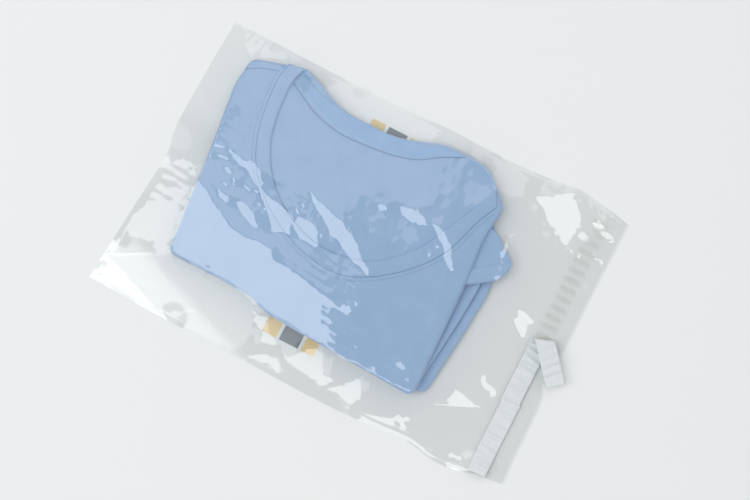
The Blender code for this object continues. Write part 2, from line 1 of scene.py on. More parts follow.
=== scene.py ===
import bpy
import numpy as np
from mathutils import Matrix


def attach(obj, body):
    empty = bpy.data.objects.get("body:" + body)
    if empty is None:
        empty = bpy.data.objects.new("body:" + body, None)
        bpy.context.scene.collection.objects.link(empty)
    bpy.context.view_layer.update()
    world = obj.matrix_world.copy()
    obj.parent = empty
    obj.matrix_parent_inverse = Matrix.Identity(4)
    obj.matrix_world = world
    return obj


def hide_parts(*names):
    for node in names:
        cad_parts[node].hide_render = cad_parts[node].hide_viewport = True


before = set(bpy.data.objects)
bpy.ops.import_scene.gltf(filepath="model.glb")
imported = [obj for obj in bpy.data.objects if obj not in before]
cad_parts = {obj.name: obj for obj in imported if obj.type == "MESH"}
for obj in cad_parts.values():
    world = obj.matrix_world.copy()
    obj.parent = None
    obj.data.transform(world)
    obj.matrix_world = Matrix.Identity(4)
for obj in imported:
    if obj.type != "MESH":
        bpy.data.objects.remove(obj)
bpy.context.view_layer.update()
mm = 0.001   # every length below is in millimetres, and becomes metres when a mesh is made

camera = {"lens": 70.0, "sensor": 36.0, "tilt": 6.0, "spin": 2.047,
          "aim": (9.079, 4.71, 0.0), "distance": 1254.0}


def frameMatrix(right, up, back, place):
    # Where an object stands, from the directions of its own axes and its place.
    rows = np.vstack([np.column_stack([right, up, back, place]), [0, 0, 0, 1]])
    return Matrix(rows.tolist())


def placeCamera():
    # The camera looks down at the aim point, leant back from the vertical by the tilt.
    tilt, spin = np.radians(camera["tilt"]), camera["spin"]
    upPlan = np.array([np.cos(spin), np.sin(spin), 0.0])
    back = np.array([-np.sin(tilt) * np.cos(spin), -np.sin(tilt) * np.sin(spin), np.cos(tilt)])
    right = np.cross(upPlan, back)
    right /= np.linalg.norm(right)
    up = np.cross(back, right)
    place = (np.array(camera["aim"]) + back * camera["distance"]) * mm
    data = bpy.data.cameras.new("camera")
    data.lens, data.sensor_width = camera["lens"], camera["sensor"]
    data.clip_start = 0.01
    eye = bpy.data.objects.new("camera", data)
    eye.matrix_world = frameMatrix(right, up, back, place)
    bpy.context.collection.objects.link(eye)
    bpy.context.scene.camera = eye


bpy.context.scene.view_settings.view_transform = "Standard"
placeCamera()


def curveThrough(points, count):
    # Catmull-Rom curve through the points, then spaced out evenly along its length.
    p = np.array(points, dtype=float)
    p = np.vstack([2 * p[0] - p[1], p, 2 * p[-1] - p[-2]])
    t = np.linspace(0, 1, 12, endpoint=False)[:, None]
    runs = [0.5 * (2 * b + (c - a) * t + (2 * a - 5 * b + 4 * c - d) * t ** 2
                   + (3 * b - a - 3 * c + d) * t ** 3)
            for a, b, c, d in zip(p[:-3], p[1:-2], p[2:-1], p[3:])]
    return evenly(np.vstack(runs + [p[-2:-1]]), count)


def evenly(line, count, closed=False):
    # The same line with its points at equal distances along it.
    travel = np.concatenate([[0], np.cumsum(np.linalg.norm(np.diff(line, axis=0), axis=1))])
    at = np.linspace(0, travel[-1], count, endpoint=not closed)
    return np.column_stack([np.interp(at, travel, line[:, k]) for k in range(line.shape[1])])


def filletLoop(corners, count):
    # Closed outline with an arc of the given radius at each corner, spaced out evenly.
    plan = np.array([c[:2] for c in corners], dtype=float)
    points = []
    for k, corner in enumerate(corners):
        here = plan[k]
        back, ahead = plan[k - 1] - here, plan[(k + 1) % len(plan)] - here
        backLength, aheadLength = np.linalg.norm(back), np.linalg.norm(ahead)
        back, ahead = back / backLength, ahead / aheadLength
        halfTurn = (np.pi - np.arccos(np.clip(back @ ahead, -1, 1))) / 2
        reach = min(corner[2] * np.tan(halfTurn), 0.45 * backLength, 0.45 * aheadLength)
        radius = reach / np.tan(halfTurn)
        bisector = (back + ahead) / np.linalg.norm(back + ahead)
        centre = here + bisector * radius / np.cos(halfTurn)
        start, end = here + back * reach - centre, here + ahead * reach - centre
        for share in np.linspace(0, 1, 9):
            weight = np.sin(np.array([1 - share, share]) * 2 * halfTurn) / np.sin(2 * halfTurn)
            points.append(centre + weight[0] * start + weight[1] * end)
    return evenly(np.array(points + points[:1]), count, closed=True)


def offsetLoop(loop, distance):
    # Moves a counterclockwise loop outwards along its normals.
    ahead = np.roll(loop, -1, axis=0) - np.roll(loop, 1, axis=0)
    ahead /= np.linalg.norm(ahead, axis=1)[:, None]
    return loop + np.reshape(distance, (-1, 1)) * np.column_stack([ahead[:, 1], -ahead[:, 0]])


def depthInside(x, y, loop):
    # Distance from the loop, positive inside it and negative outside, for arrays of any shape.
    px, py = x.ravel(), y.ravel()
    best = np.full(px.shape, 1e9)
    inside = np.zeros(px.shape, dtype=bool)
    for a, b in zip(loop, np.roll(loop, -1, axis=0)):
        span = b - a
        share = np.clip(((px - a[0]) * span[0] + (py - a[1]) * span[1]) / (span @ span), 0, 1)
        gap = (px - a[0] - share * span[0]) ** 2 + (py - a[1] - share * span[1]) ** 2
        best = np.minimum(best, gap)
        crosses = (py >= a[1]) != (py >= b[1])
        rise = span[1] if abs(span[1]) > 1e-9 else 1e-9
        inside ^= crosses & (px < a[0] + (py - a[1]) * span[0] / rise)
    return np.where(inside, np.sqrt(best), -np.sqrt(best)).reshape(x.shape)


def gapFromLine(x, y, start, end):
    # Distance of each point from a straight line between two places.
    a, b = np.array(start, float), np.array(end, float)
    span = b - a
    share = np.clip(((x - a[0]) * span[0] + (y - a[1]) * span[1]) / (span @ span), 0, 1)
    return np.hypot(x - a[0] - share * span[0], y - a[1] - share * span[1])


def heading(line):
    # Unit direction of a line at each of its points.
    ahead = np.gradient(line, axis=0)
    return ahead / np.linalg.norm(ahead, axis=1)[:, None]


def smoothStep(value):
    t = np.clip(value, 0, 1)
    return t * t * (3 - 2 * t)


def ripple(x, y, seed, waves, shortest, longest):
    # Sum of sine waves in seeded directions and lengths, scaled to about one either way.
    rng = np.random.default_rng(seed)
    total = np.zeros(x.shape)
    for _ in range(waves):
        angle, phase = rng.uniform(0, np.pi), rng.uniform(0, 2 * np.pi)
        length = shortest * (longest / shortest) ** rng.uniform(0, 1)
        total += np.sin(2 * np.pi * (x * np.cos(angle) + y * np.sin(angle)) / length + phase)
    return total / np.sqrt(waves * 2)


def makePiece(name, points, faces, material, slot):
    # Points in millimetres and a list of face index arrays, each with its own corner count.
    mesh = bpy.data.meshes.new(name)
    points = np.ascontiguousarray(points, dtype=np.float32) * np.float32(mm)
    corners = np.concatenate([f.ravel() for f in faces]).astype(np.int32)
    counts = np.concatenate([np.full(len(f), f.shape[1]) for f in faces])
    starts = np.concatenate([[0], np.cumsum(counts)[:-1]]).astype(np.int32)
    mesh.vertices.add(len(points))
    mesh.vertices.foreach_set("co", points.ravel())
    mesh.loops.add(len(corners))
    mesh.loops.foreach_set("vertex_index", corners)
    mesh.polygons.add(len(starts))
    mesh.polygons.foreach_set("loop_start", starts)
    mesh.update(calc_edges=True)
    mesh.validate()
    mesh.shade_smooth()
    mesh.materials.append(material)
    piece = bpy.data.objects.new(name, mesh)
    bpy.context.collection.objects.link(piece)
    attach(piece, "root")
    return piece


def shellFaces(rows, columns):
    # Faces of a closed shell: an upper and a lower grid of points, joined round the rim.
    index = np.arange(rows * columns).reshape(rows, columns)
    a, b, c, d = index[:-1, :-1], index[1:, :-1], index[1:, 1:], index[:-1, 1:]
    upper = np.stack([a, b, c, d], -1).reshape(-1, 4)
    lower = upper[:, ::-1] + rows * columns
    rim = np.concatenate([index[:, 0], index[-1, 1:], index[-2::-1, -1], index[0, -2:0:-1]])
    ahead = np.roll(rim, -1)
    side = np.stack([ahead, rim, rim + rows * columns, ahead + rows * columns], -1)
    return np.vstack([upper, lower, side])


def makeSheet(name, grid, material, slot):
    # An open sheet over a grid of points.
    rows, columns = grid.shape[:2]
    index = np.arange(rows * columns).reshape(rows, columns)
    faces = np.stack([index[:-1, :-1], index[1:, :-1], index[1:, 1:], index[:-1, 1:]], -1)
    return makePiece(name, grid.reshape(-1, 3), [faces.reshape(-1, 4)], material, slot)


def shellPoints(upper, lower):
    return np.vstack([upper.reshape(-1, 3), lower.reshape(-1, 3)])


def loftFaces(rings, around):
    # Faces of a closed body: rings from the middle of its underside out and over to its top.
    index = np.arange(rings * around).reshape(rings, around)
    ahead = np.roll(index, -1, axis=1)
    quads = np.stack([index[:-1], ahead[:-1], ahead[1:], index[1:]], -1).reshape(-1, 4)
    low, high = rings * around, rings * around + 1
    lowFan = np.stack([np.full(around, low), ahead[0], index[0]], -1)
    highFan = np.stack([np.full(around, high), index[-1], ahead[-1]], -1)
    return quads, np.vstack([lowFan, highFan])


def joinParts(parts):
    # Several closed bodies as one mesh: (points, [faces, ...]) each.
    points, faces, start = [], {}, 0
    for partPoints, partFaces in parts:
        for f in partFaces:
            faces.setdefault(f.shape[1], []).append(f + start)
        points.append(partPoints)
        start += len(partPoints)
    return np.vstack(points), [np.vstack(f) for f in faces.values()]


def linear(code):
    # An sRGB hex colour as linear red, green, blue and one for alpha.
    value = np.array([int(code[k:k + 2], 16) for k in (1, 3, 5)]) / 255
    value = np.where(value <= 0.04045, value / 12.92, ((value + 0.055) / 1.055) ** 2.4)
    return (*value.tolist(), 1.0)


def addNode(tree, kind, values=None, links=None, **options):
    # One shader node, with its options, the values of its sockets, and the links into it.
    node = tree.nodes.new("ShaderNode" + kind)
    for key, value in options.items():
        setattr(node, key, value)
    for key, value in (values or {}).items():
        node.inputs[key].default_value = value
    for key, (source, output) in (links or {}).items():
        tree.links.new(source.outputs[output], node.inputs[key])
    return node


def emptyMaterial(name):
    # A new material, its empty tree, and the place on the object that textures are laid by.
    material = bpy.data.materials.new(name)
    material.use_nodes = True
    tree = material.node_tree
    tree.nodes.clear()
    return material, tree, (addNode(tree, "TexCoord"), "Object")


def waveScale(pitch):
    # Scale of a wave texture whose bands lie the pitch apart.
    return np.pi / 10 / (pitch * mm)


# The thread colour is darker than the cloth partly as the thread's own and partly as painted shade
# in the seam grooves.
cloth = {"colour": "#AAC4E2", "deep": "#91B0D6", "threadAndGrooveShade": "#7E9BC6", "wale": 2.4, "ribPitch": 3.2,
         "threadPitch": 1.2, "mottle": 0.7, "waleValleyShade": 0.15, "jerseyDepth": 0.00008,
         "ribDepth": 0.00014}


def jerseyMaterial(name, colour, deep, pitch, ribbed):
    # Cotton single jersey, knitted and piece-dyed: matt, with a faint sheen from loose fibre,
    # wales along the body and a slight mottle from the dye. The colour is also darker in the
    # valleys between the wales, which is painted shade. Real wales are 0.7 mm apart; they are
    # drawn coarser, because a pixel is nearly that wide.
    material, tree, place = emptyMaterial(name)
    wales = addNode(tree, "TexWave", {"Scale": waveScale(pitch),
                    "Distortion": 0.6 if ribbed else 1.4, "Detail": 2.0, "Detail Scale": 2.0},
                    {"Vector": place}, bands_direction="X", wave_profile="SIN")
    mottle = addNode(tree, "TexNoise", {"Scale": 60.0, "Detail": 5.0, "Roughness": 0.6},
                     {"Vector": place})
    fuzz = addNode(tree, "TexNoise", {"Scale": 1600.0, "Detail": 2.0}, {"Vector": place})
    blend = addNode(tree, "Math", {1: cloth["mottle"]}, {0: (mottle, "Fac")}, operation="MULTIPLY")
    # The wales also pull the colour towards the deeper tone in their valleys: painted shade.
    blend = addNode(tree, "Math", {1: cloth["waleValleyShade"]}, {0: (wales, "Fac"), 2: (blend, 0)},
                    operation="MULTIPLY_ADD")
    tone = addNode(tree, "Mix", {6: linear(deep), 7: linear(colour)}, {0: (blend, 0)},
                   data_type="RGBA")
    height = addNode(tree, "Math", {1: 0.5}, {0: (fuzz, "Fac"), 2: (wales, "Fac")},
                     operation="MULTIPLY_ADD")
    depth = cloth["ribDepth"] if ribbed else cloth["jerseyDepth"]
    bump = addNode(tree, "Bump", {"Strength": 0.5, "Distance": depth}, {"Height": (height, 0)})
    shader = addNode(tree, "BsdfPrincipled", {"Roughness": 0.92, "Sheen Weight": 0.25,
                     "Sheen Roughness": 0.5, "Specular IOR Level": 0.25},
                     {"Base Color": (tone, 2), "Normal": (bump, 0)})
    addNode(tree, "OutputMaterial", links={"Surface": (shader, 0)})
    return material


# A wall of film is drawn as one surface, which mirrors as much as its two faces together.
# Scales are per metre and depths are in metres, as the nodes take them.
film = {"gloss": 0.080, "clear": "#FCFDFD", "roughness": 0.05, "grainScale": 140.0,
        "grainDepth": 0.000012}
# The glue hardly shines by itself. Bars across it, where the peeled liner left it duller,
# mirror a little more of the dim room and so look darker than the film beside them.
glue = {"gloss": 0.004, "clear": "#FFFFFE", "roughness": 0.10, "grainScale": 300.0,
        "grainDepth": 0.00006, "barPitch": 9.0, "barGloss": 0.10}


def clearMaterial(name, look):
    # Clear polythene, blown as thin film: see-through with a bright gloss that grows towards
    # grazing angles by Schlick's rule, so the eye gets white glints on every crease.
    material, tree, place = emptyMaterial(name)
    crinkle = addNode(tree, "TexNoise", {"Scale": look["grainScale"], "Detail": 3.0,
                      "Roughness": 0.55}, {"Vector": place})
    bump = addNode(tree, "Bump", {"Strength": 1.0, "Distance": look["grainDepth"]},
                   {"Height": (crinkle, "Fac")})
    facing = addNode(tree, "LayerWeight", {"Blend": 0.5}, {"Normal": (bump, 0)})
    power = addNode(tree, "Math", {1: 5.0}, {0: (facing, "Facing")}, operation="POWER")
    share = addNode(tree, "Math", {1: 1 - look["gloss"], 2: look["gloss"]}, {0: (power, 0)},
                    operation="MULTIPLY_ADD")
    if "barPitch" in look:
        bars = addNode(tree, "TexWave", {"Scale": waveScale(look["barPitch"]),
                       "Distortion": 0.5, "Detail": 1.0}, {"Vector": place},
                       bands_direction="Y", wave_profile="SIN")
        edge = addNode(tree, "MapRange", {"From Min": 0.45, "From Max": 0.6,
                       "To Max": look["barGloss"]}, {"Value": (bars, "Fac")})
        share = addNode(tree, "Math", links={0: (share, 0), 1: (edge, 0)}, operation="ADD")
    through = addNode(tree, "BsdfTransparent", {"Color": linear(look["clear"])})
    gloss = addNode(tree, "BsdfGlossy", {"Color": (1, 1, 1, 1), "Roughness": look["roughness"]},
                    {"Normal": (bump, 0)})
    mix = addNode(tree, "MixShader", links={0: (share, 0), 1: (through, 0), 2: (gloss, 0)})
    addNode(tree, "OutputMaterial", links={"Surface": (mix, 0)})
    return material


linerLook = {"deep": "#D4DADD", "pale": "#DFE5E8", "roughness": 0.38, "coat": 0.15}


def linerMaterial():
    # Silicone-coated polythene liner: thin, whitish and satin, slightly cool, so that its
    # creases show as soft bands of light and shade.
    material, tree, place = emptyMaterial("siliconeCoatedLiner")
    grain = addNode(tree, "TexNoise", {"Scale": 320.0, "Detail": 4.0}, {"Vector": place})
    tone = addNode(tree, "Mix", {6: linear(linerLook["deep"]), 7: linear(linerLook["pale"])},
                   {0: (grain, "Fac")}, data_type="RGBA")
    bump = addNode(tree, "Bump", {"Strength": 0.25, "Distance": 0.0001}, {"Height": (grain, "Fac")})
    shader = addNode(tree, "BsdfPrincipled", {"Roughness": linerLook["roughness"],
                     "Coat Weight": linerLook["coat"]},
                     {"Base Color": (tone, 2), "Normal": (bump, 0)})
    addNode(tree, "OutputMaterial", links={"Surface": (shader, 0)})
    return material


def inkMaterial(name, colour):
    # Flexographic ink on the back panel: flat and slightly uneven, as thin ink dries on film.
    material, tree, place = emptyMaterial(name)
    grain = addNode(tree, "TexNoise", {"Scale": 900.0, "Detail": 3.0}, {"Vector": place})
    base = np.array(linear(colour))
    tone = addNode(tree, "Mix", {6: tuple(base * [0.9, 0.9, 0.9, 1]), 7: tuple(base)},
                   {0: (grain, "Fac")}, data_type="RGBA")
    shader = addNode(tree, "BsdfPrincipled", {"Roughness": 0.45}, {"Base Color": (tone, 2)})
    addNode(tree, "OutputMaterial", links={"Surface": (shader, 0)})
    return material


jersey = jerseyMaterial("cottonJersey", cloth["colour"], cloth["deep"], cloth["wale"], False)
ribKnit = jerseyMaterial("cottonRibKnit", cloth["colour"], cloth["deep"], cloth["ribPitch"], True)
polythene = clearMaterial("clearPolytheneFilm", film)
tack = clearMaterial("pressureSensitiveAdhesive", glue)
# Darker blue thread: partly the thread's own colour, partly painted shade of the seam grooves.
threadAndGrooveShade = jerseyMaterial("sewingThreadAndGrooveShade", cloth["threadAndGrooveShade"], cloth["threadAndGrooveShade"],
                        cloth["threadPitch"], True)
goldInk = inkMaterial("goldFlexoInk", "#E9CF96")
greyInk = inkMaterial("greyFlexoInk", "#6F7C86")
linerFilm = linerMaterial()


# heights of the shirt's layers from the table up, and how far the side layers stand out
shirt = {"left": -162, "right": 92, "low": -90, "high": 112, "mainLow": 7.6, "mainTop": 14.2,
         "crown": 1.6, "recess": 1.6, "innerLow": 5.1, "innerReach": 9, "flapLow": 2.6,
         "flapReach": 18, "tailLow": 0.5, "layer": 2.8, "sunk": 1.6, "tail": 2.4,
         "underSleeve": 1.8, "underSleeveEdge": 63.3, "sleeveLow": 8.5, "swell": 0.18}
# the neck rib's sewn edge and its free edge, and the seam of the back of the neck
frontOuter = curveThrough([(-130, 113), (-133, 92), (-126, 46), (-108, 13), (-75, -14), (-35, -29),
                           (0, -28), (37, -5), (64, 27), (77, 64), (86, 83)], 260)
frontInner = curveThrough([(-115, 115), (-120, 95), (-113, 48), (-91, 13), (-59, -8), (-26, -15),
                           (12, -6), (43, 24), (61, 59), (73, 84), (78, 97)], 260)
backSeam = curveThrough([(-119, 100), (-104, 92), (-87, 84), (-62, 79), (-37, 80), (-14, 83),
                         (6, 89), (23, 100), (40, 109)], 200)


def mainLoop(count):
    # The shirt as it shows from above; the dip in its top edge is the back of the neck.
    return filletLoop([
        (-146, -79, 8), (-68, -79, 60), (-47.7, -87, 60), (95, -93, 7), (92, 11, 300),
        (88, 55.4, 60), (92, 85, 12), (65, 112, 30), (23.6, 113, 60), (-19.1, 98, 80),
        (-69.6, 98, 60), (-114, 117, 14), (-161, 103, 9), (-164, 76, 60), (-156, 15, 200)], count)


def innerLoop(count):
    return sideLoop(-142, shirt["innerReach"], count)


def flapLoop(count):
    return sideLoop(-25, shirt["flapReach"], count)


def sideLoop(innerX, reach, count):
    # A layer behind the front panel, whose right edge stands out past it by the reach.
    x1 = shirt["right"] + reach
    return filletLoop([
        (innerX, -76, 8), ((innerX + x1) / 2, -83, 80), (x1 - 7, -87, 8), (x1, -17.3, 120),
        (x1 + 2, 15, 60), (x1 - 2, 47.4, 20), (84, 78, 40), (58, 96, 20), (innerX, 96, 8)], count)


def boxLoop(x0, x1, y0, y1, corner, count):
    plan = [(x0, y0), (x1, y0), (x1, y1), (x0, y1)]
    return filletLoop([(*place, corner) for place in plan], count)


def sleeveLoop(count):
    # The right sleeve: tucked into the stack, with one folded corner standing out.
    return filletLoop([(60, 11, 6), (90, 11, 20), (114, 27.6, 20), (122, 45, 11), (92, 67, 20),
                       (60, 63, 6)], count)


def crownHeight(x, y):
    # The soft rise of the stack: a product of two parabolas over the shirt's rectangle.
    u = (x - (shirt["left"] + shirt["right"]) / 2) / ((shirt["right"] - shirt["left"]) / 2)
    v = (y - (shirt["low"] + shirt["high"]) / 2) / ((shirt["high"] - shirt["low"]) / 2)
    return shirt["crown"] * np.clip(1 - u ** 2, 0, 1) * np.clip(1 - v ** 2, 0, 1)


# soft folds of the front panel: start, end, half width and height
foldLines = [((-150, 60), (-125, -60), 9, 0.6), ((-118, -20), (-30, -72), 11, 0.5),
             ((-20, -40), (70, -70), 9, 0.6), ((30, -25), (86, -80), 6, 0.5),
             ((-60, 62), (-28, 22), 4.5, 1.0), ((-36, 60), (14, 34), 4.5, 0.9),
             ((-28, 22), (8, 6), 4, 0.8), ((-95, 60), (-70, 15), 6, 0.5),
             ((14, 70), (50, 60), 5, 0.5), ((70, 20), (84, -40), 5, 0.45),
             ((-140, 90), (-136, 30), 4, 0.4)]
slowSwell, quickSwell = 0.16, 0.05


def foldHeight(x, y):
    # Each fold is a bell across the line between its two ends; slow and quick swells of sine
    # waves lie under them.
    total = slowSwell * ripple(x, y, 11, 7, 28, 70) + quickSwell * ripple(x, y, 12, 10, 8, 20)
    for start, end, width, height in foldLines:
        total += height * np.exp(-(gapFromLine(x, y, start, end) / width) ** 2)
    return total


neckOpening = np.vstack([(frontOuter + frontInner)[::8] / 2, [(92, 140), (-125, 140)]])
mainEdge = mainLoop(120)
edgeFade, neckFade = 9.0, 2.5   # widths over which the folds and the neck's step come in


def frontSurface(x, y):
    # Top of the front panel: the crown and the folds, less a smooth step down to the back
    # panel inside the neck opening.
    height = shirt["mainTop"] + crownHeight(x, y)
    height += foldHeight(x, y) * smoothStep(depthInside(x, y, mainEdge) / edgeFade)
    return height - shirt["recess"] * smoothStep(depthInside(x, y, neckOpening) / neckFade + 0.5)


def padPart(loop, low, high, inner, outer, top=None):
    # Folded cloth: a loop lofted through half a circle at its side. Inner rings close its two
    # faces, and the top takes the heights of the given surface or a slight swell.
    half = (high - low) / 2
    middle = loop.mean(0)
    rings = []
    flat = offsetLoop(loop, -half)
    for share in np.linspace(0.02, 1, inner, endpoint=False):
        rings.append(np.column_stack([middle + share * (flat - middle), np.full(len(loop), low)]))
    for angle in np.linspace(-np.pi / 2, np.pi / 2, 9):
        plan = offsetLoop(loop, -half * (1 - np.cos(angle)))
        rings.append(np.column_stack([plan, np.full(len(loop), low + half + half * np.sin(angle))]))
    for share in np.linspace(1, 0.01, outer, endpoint=False)[1:]:
        rings.append(np.column_stack([middle + share * (flat - middle), np.full(len(loop), high)]))
    rings = np.array(rings)
    lift = smoothStep((rings[:, :, 2] - low) / (high - low))
    if top is None:
        rise = shirt["swell"] * ripple(rings[:, :, 0], rings[:, :, 1], int(low * 10), 6, 14, 40)
    else:
        rise = top(rings[:, :, 0], rings[:, :, 1]) - high
    rings[:, :, 2] += lift * rise
    points = np.vstack([rings.reshape(-1, 3), rings[0].mean(0), rings[-1].mean(0)])
    return points, list(loftFaces(len(rings), len(loop)))


cuff = {"from": (82, 12), "to": (113, 36), "reach": 7.4, "height": 2.5, "sunk": 1.5, "swell": 0.2}


def sleeveTop(x, y):
    # The sleeve lies lower than its rolled hem: half an ellipse across the line of the hem.
    gap = gapFromLine(x, y, cuff["from"], cuff["to"]) / cuff["reach"]
    roll = cuff["height"] * np.sqrt(np.clip(1 - gap ** 2, 0, 1))
    swell = cuff["swell"] * ripple(x, y, 61, 6, 9, 24)
    return shirt["sleeveLow"] + shirt["layer"] - cuff["sunk"] + roll + swell


def waved(loop, seed, amount):
    # Pushes a loop in and out a little, as the edge of cloth folded by hand wanders.
    travel = np.linspace(0, 2 * np.pi, len(loop), endpoint=False)
    rng = np.random.default_rng(seed)
    total = sum(np.sin(k * travel + rng.uniform(0, 6.28)) / k ** 0.5 for k in (3, 5, 8, 13))
    return offsetLoop(loop, amount * total / 2)


rollWidth, rollFade = 3.5, 6.0   # a fold's full edge, and where it has sunk to its layer


def rolledTop(loop, high, seed):
    # Height of a folded layer: full by its outer edge, and a smooth step down further in,
    # under the next one.
    def top(x, y):
        fall = smoothStep((depthInside(x, y, loop) - rollWidth) / rollFade)
        return high - shirt["sunk"] * fall + shirt["swell"] * ripple(x, y, seed, 6, 14, 40)
    return top


def makePadded(name, node, parts, material, slot):
    # Folded cloth as one piece, which stands for a solid of the CAD model.
    piece = makePiece(name, *joinParts(parts), material, slot)
    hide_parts(node)


def makeShirt():
    s = shirt
    inner, flap = innerLoop(260), flapLoop(240)
    parts = [padPart(mainLoop(440), s["mainLow"], s["mainTop"], 20, 92, frontSurface),
             padPart(waved(inner, 3, 0.5), s["innerLow"], s["innerLow"] + s["layer"], 8, 60,
                     rolledTop(inner, s["innerLow"] + s["layer"], 51)),
             padPart(waved(flap, 4, 0.6), s["flapLow"], s["flapLow"] + s["layer"], 8, 40,
                     rolledTop(flap, s["flapLow"] + s["layer"], 26)),
             padPart(waved(boxLoop(-144, -45, -74, 96, 7, 220), 5, 0.6), s["flapLow"],
                     s["flapLow"] + s["layer"], 12, 10),
             padPart(waved(boxLoop(-144, 88, -76, 62, 7, 280), 6, 0.8), s["tailLow"],
                     s["tailLow"] + s["tail"], 24, 10)]
    makePadded("foldedShirt", "shirt_body", parts, jersey, "jersey")
    right = padPart(waved(sleeveLoop(200), 7, 0.3), s["sleeveLow"], s["sleeveLow"] + s["layer"],
                    10, 50, sleeveTop)
    makePadded("sleeveRight", "sleeve_right", [right], jersey, "jersey")
    left = padPart(waved(boxLoop(-140, -52, s["underSleeveEdge"], 94, 5, 160), 8, 0.4),
                   s["tailLow"], s["tailLow"] + s["underSleeve"], 12, 10)
    makePadded("sleeveLeft", "sleeve_left", [left], jersey, "jersey")


# the seam is sewn down to a share of the band's thickness; the free edge rolls over
band = {"thick": 1.3, "backThick": 0.9, "roll": 0.5, "across": 22, "seam": 0.35, "seamShare": 0.10,
        "rollShare": 0.14, "above": 0.45, "backAbove": 0.1}


def bandPart(outer, inner, base, thick):
    # A strip between two lines: a smooth step up from its sewn edge, a parabola across it, and
    # a quarter circle over its free edge.
    share = np.linspace(0, 1, band["across"])[None, :, None]
    plan = outer[:, None, :] * (1 - share) + inner[:, None, :] * share
    x, y = plan[:, :, 0], plan[:, :, 1]
    t = np.broadcast_to(share[:, :, 0], x.shape)
    fromRoll = np.clip((t - 1 + band["rollShare"]) / band["rollShare"], 0, 1)
    rounded = np.sqrt(np.clip(1 - fromRoll ** 2, 0.02, 1))
    body = thick * (band["seam"] + (1 - band["seam"]) * smoothStep(t / band["seamShare"]))
    low = base(x, y)
    high = low + (body + band["roll"] * 4 * t * (1 - t)) * rounded
    upper, lower = np.dstack([x, y, high]), np.dstack([x, y, low])
    return shellPoints(upper[:, ::-1], lower[:, ::-1]), [shellFaces(*x.shape)]


def frontBase(x, y):
    # The crown, lowered by the recess, and a little above it.
    return shirt["mainTop"] + crownHeight(x, y) - shirt["recess"] + band["above"]


def backBase(x, y):
    # The same, for the part of the rib behind the neck.
    return frontBase(x, y) - band["above"] + band["backAbove"]


def makeNeckband():
    top = curveThrough([(-113.5, 111), (-96, 103.5), (-78, 99.6), (-58, 97.2), (-30, 97.2),
                        (-10, 99.5), (6, 104), (24, 109.5), (43, 110.5)], 200)
    parts = [bandPart(frontOuter, frontInner, frontBase, band["thick"]),
             bandPart(top, backSeam, backBase, band["backThick"])]
    makePadded("neckRib", "neckband", parts, ribKnit, "rib_knit")


sewing = {"seamRadius": 0.38, "threadRadius": 0.24, "stitch": 2.1, "pitch": 3.0, "away": 2.6,
          "sides": 6, "seamShare": 0.05, "sunk": -0.05, "backAbove": 0.25, "stitchAbove": 0.02}


def tubePart(line, radius, sides):
    # A round thread along a line: circles square to the line, drawn in at both ends.
    ahead = heading(line)
    side = np.column_stack([-ahead[:, 1], ahead[:, 0], np.zeros(len(line))])
    side /= np.linalg.norm(side, axis=1)[:, None]
    up = np.cross(ahead, side)
    angle = np.linspace(0, 2 * np.pi, sides, endpoint=False)[None, :, None]
    taper = np.ones(len(line))
    taper[[0, -1]] = 0.5
    ring = np.cos(angle) * side[:, None] + np.sin(angle) * up[:, None]
    rings = line[:, None] + radius * taper[:, None, None] * ring
    points = np.vstack([rings.reshape(-1, 3), line[0], line[-1]])
    return points, list(loftFaces(len(line), sides))


def onFront(plan, above):
    return np.column_stack([plan, frontSurface(*plan.T) + above])


def makeSeams():
    # Seam threads in their grooves, coloured darker than the cloth partly as the thread's own
    # colour and partly as painted shade of the grooves, and a row of short stitches beside the neck
    # rib.
    s = sewing
    neckLine = onFront(frontOuter + s["seamShare"] * (frontInner - frontOuter), s["sunk"])
    shoulder = onFront(curveThrough([(-161, 92), (-149, 98.6), (-136, 103)], 30), 0.0)
    backLine = np.column_stack([backSeam, backBase(*backSeam.T) + s["backAbove"]])
    parts = [tubePart(line, s["seamRadius"], s["sides"]) for line in (neckLine, shoulder, backLine)]
    ahead = heading(frontOuter)
    away = frontOuter + s["away"] * np.column_stack([ahead[:, 1], -ahead[:, 0]])
    travel = np.concatenate([[0], np.cumsum(np.linalg.norm(np.diff(away, axis=0), axis=1))])
    for start in np.arange(4, travel[-1] - 6, s["pitch"]):
        at = np.linspace(start, start + s["stitch"], 4)
        plan = np.column_stack([np.interp(at, travel, away[:, k]) for k in (0, 1)])
        parts.append(tubePart(onFront(plan, s["stitchAbove"]), s["threadRadius"], s["sides"]))
    makePiece("seamThreadsAndGrooveShade", *joinParts(parts), threadAndGrooveShade, "rib_knit")


makeShirt()
makeNeckband()
makeSeams()
print("shirt made")


bag = {"closed": -195.0, "seal": 155.0, "mouth": 193.0, "lip": 195.0, "low": -130.0, "high": 130.0,
       "wall": 0.1, "weld": 4.0, "mouthGap": 0.8, "cell": 1.1, "backCell": 3.6, "above": 0.55,
       "sideRoll": 0.6, "clothSwell": 0.25, "crinkle": 0.05, "freeHeight": 60.0}
mouthShare = 0.205   # of the bag's length, over which the mouth's own waver comes in
# how far each edge wanders: share along the edge, and millimetres
highWave = [(0, -3), (.18, -4), (.42, -4), (.52, -2), (.68, -3), (.80, -1), (.87, 2), (.95, -2),
            (1, -6)]
lowWave = [(0, -2), (.13, 0), (.37, 1), (.58, 2), (.70, 0), (.78, -2), (.84, 2), (.89, 1),
           (.94, -4), (1, -7)]
closedWave = [(0, -3), (.12, -1), (.29, 2), (.48, 6), (.53, 4), (.60, 1), (.83, 2), (1, 4)]
lipWave = [(0, 2), (.13, 1), (.31, 0), (.37, -4), (.52, -2), (.71, -2), (1, -1)]


def wave(points, at):
    line = curveThrough(points, 200)
    return np.interp(at, line[:, 0], line[:, 1])


